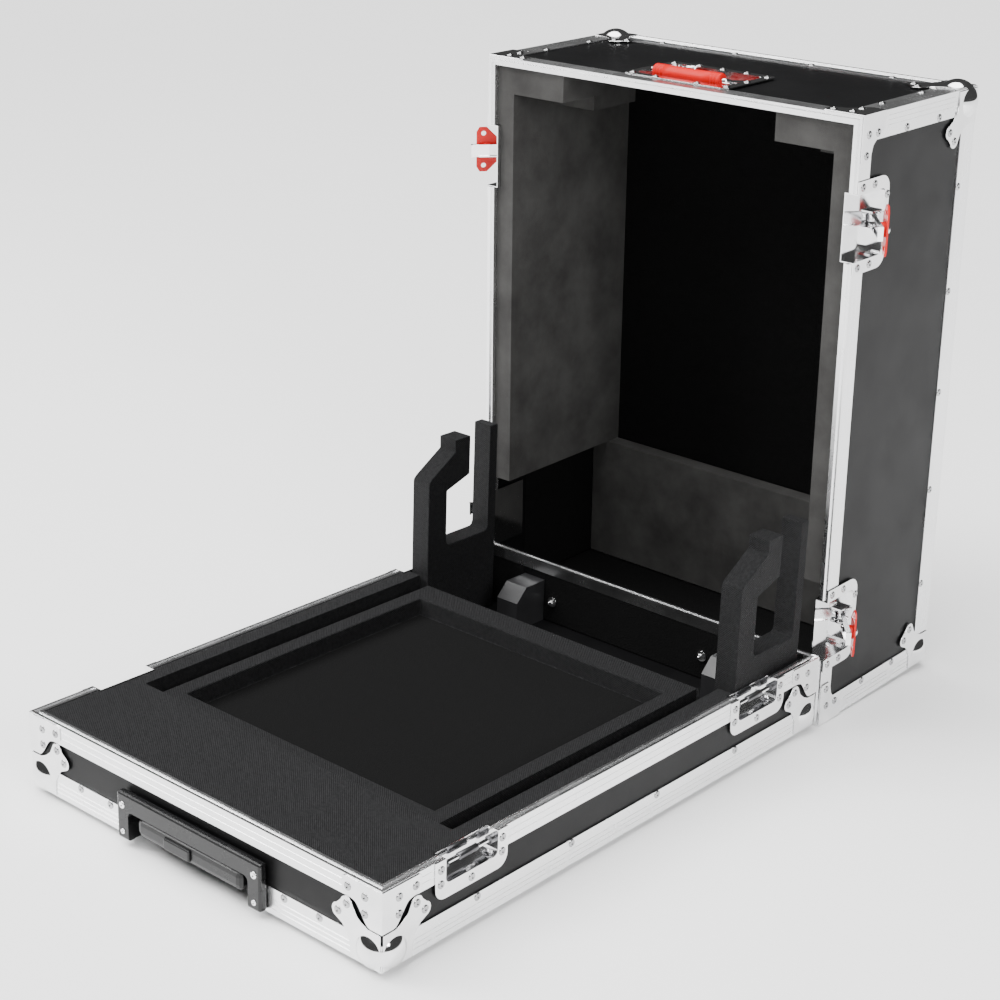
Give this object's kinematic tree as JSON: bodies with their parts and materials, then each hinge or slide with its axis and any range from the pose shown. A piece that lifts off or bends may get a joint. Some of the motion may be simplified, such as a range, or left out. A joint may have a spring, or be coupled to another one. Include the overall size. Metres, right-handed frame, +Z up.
{
  "type": "console touring case",
  "caption": "Wheeled touring case for a mixing console, shown open: base tray with foam cradle and tow handle, and a lift-off lid standing on its end behind it.",
  "frame": {"origin": "under the middle of the whole object's box, on the floor", "axes": "+Z up; -Y towards the tray's front, where its tow handle is; +Y towards the standing lid's closed back; +X to the right seen from the front"},
  "size_m": [0.608, 1.0202, 0.7565],
  "materials": {
    "laminate": "black laminate, satin",
    "aluminium": "brushed",
    "zinc": "bright",
    "red": "satin",
    "foam": "matte",
    "black_metal": "matte",
    "black_plastic": "satin",
    "tyre": "matte"
  },
  "bodies": {
    "tray": {"bracket_left": "foam", "bracket_right": "foam", "foam_cradle": "foam", "foam_surround": "foam", "strike_dish_left_back": "zinc", "strike_dish_left_front": "zinc", "strike_dish_right_back": "zinc", "strike_dish_right_front": "zinc", "tow_frame": "black_plastic", "tray_back": "laminate", "tray_ball_back_left": "zinc", "tray_ball_back_right": "zinc", "tray_ball_front_left": "zinc", "tray_ball_front_right": "zinc", "tray_edge_angle": "aluminium", "tray_floor": "laminate", "tray_front": "laminate", "tray_left": "laminate", "tray_right": "laminate", "tray_rim_back": "aluminium", "tray_rim_front": "aluminium", "tray_rim_left": "aluminium", "tray_rim_right": "aluminium", "wheel_housing_left": "black_metal", "wheel_housing_right": "black_metal"},
    "handle_bail": {"handle_bail": "red"},
    "lid": {"handle_dish": "zinc", "latch_dish_left_lower": "zinc", "latch_dish_left_upper": "zinc", "latch_dish_right_lower": "zinc", "latch_dish_right_upper": "zinc", "lid_back": "laminate", "lid_ball_lower_left": "zinc", "lid_ball_lower_right": "zinc", "lid_ball_upper_left": "zinc", "lid_ball_upper_right": "zinc", "lid_bottom_end": "laminate", "lid_edge_angle": "aluminium", "lid_foam_back": "foam", "lid_foam_left": "foam", "lid_foam_right": "foam", "lid_left": "laminate", "lid_right": "laminate", "lid_rim_left": "aluminium", "lid_rim_lower": "aluminium", "lid_rim_right": "aluminium", "lid_rim_upper": "aluminium", "lid_top_end": "laminate"},
    "latch_arm_left_lower": {"latch_arm_left_lower": "zinc"},
    "latch_arm_left_upper": {"latch_arm_left_upper": "zinc"},
    "latch_arm_right_lower": {"latch_arm_right_lower": "zinc"},
    "latch_arm_right_upper": {"latch_arm_right_upper": "zinc"},
    "latch_wing_left_lower": {"latch_wing_left_lower": "red"},
    "latch_wing_left_upper": {"latch_wing_left_upper": "red"},
    "latch_wing_right_lower": {"latch_wing_right_lower": "red"},
    "latch_wing_right_upper": {"latch_wing_right_upper": "red"},
    "tow_button": {"tow_button": "black_plastic"},
    "tow_handle": {"tow_handle": "black_plastic"},
    "wheel_left": {"wheel_left": "tyre"},
    "wheel_right": {"wheel_right": "tyre"}
  },
  "joints": [
    {"name": "lid_lift", "type": "slide", "parent": "tray", "child": "lid", "axis": [0, 0, 1], "range_m": [0, 0.35]},
    {"name": "tow_slide", "type": "slide", "parent": "tray", "child": "tow_handle", "axis": [0, -1, 0], "range_m": [0, 0.36]},
    {"name": "tow_press", "type": "slide", "parent": "tow_handle", "child": "tow_button", "axis": [0, 1, 0], "range_m": [0, 0.004], "stiffness_N_per_m": 400},
    {"name": "wheel_left_spin", "type": "hinge", "parent": "tray", "child": "wheel_left", "pos_m": [-0.165, 0.21593, 0.036], "axis": [1, 0, 0], "continuous": true},
    {"name": "wheel_right_spin", "type": "hinge", "parent": "tray", "child": "wheel_right", "pos_m": [0.165, 0.21593, 0.036], "axis": [1, 0, 0], "continuous": true},
    {"name": "handle_lift", "type": "hinge", "parent": "lid", "child": "handle_bail", "pos_m": [0, 0.32907, 0.73861], "axis": [-1, 0, 0], "range_deg": [0, 90], "stiffness_Nm_per_rad": 0.05},
    {"name": "latch_arm_left_lower", "type": "hinge", "parent": "lid", "child": "latch_arm_left_lower", "pos_m": [-0.26, 0.30211, 0.12801], "axis": [0, 0.0304, -0.9995], "range_deg": [-41, 25]},
    {"name": "latch_wing_left_lower", "type": "hinge", "parent": "latch_arm_left_lower", "child": "latch_wing_left_lower", "pos_m": [-0.28821, 0.26967, 0.12702], "axis": [-0.7547, 0.6558, 0.0199], "range_deg": [0, 180]},
    {"name": "latch_arm_left_upper", "type": "hinge", "parent": "lid", "child": "latch_arm_left_upper", "pos_m": [-0.26, 0.28722, 0.61778], "axis": [0, 0.0304, -0.9995], "range_deg": [-41, 25]},
    {"name": "latch_wing_left_upper", "type": "hinge", "parent": "latch_arm_left_upper", "child": "latch_wing_left_upper", "pos_m": [-0.28821, 0.25478, 0.61679], "axis": [-0.7547, 0.6558, 0.0199], "range_deg": [0, 180]},
    {"name": "latch_arm_right_lower", "type": "hinge", "parent": "lid", "child": "latch_arm_right_lower", "pos_m": [0.26, 0.30211, 0.12801], "axis": [0, -0.0304, 0.9995], "range_deg": [-41, 25]},
    {"name": "latch_wing_right_lower", "type": "hinge", "parent": "latch_arm_right_lower", "child": "latch_wing_right_lower", "pos_m": [0.28821, 0.26967, 0.12702], "axis": [0.7547, 0.6558, 0.0199], "range_deg": [0, 180]},
    {"name": "latch_arm_right_upper", "type": "hinge", "parent": "lid", "child": "latch_arm_right_upper", "pos_m": [0.26, 0.28722, 0.61778], "axis": [0, -0.0304, 0.9995], "range_deg": [-41, 25]},
    {"name": "latch_wing_right_upper", "type": "hinge", "parent": "latch_arm_right_upper", "child": "latch_wing_right_upper", "pos_m": [0.28821, 0.25478, 0.61679], "axis": [0.7547, 0.6558, 0.0199], "range_deg": [0, 180]}
  ]
}
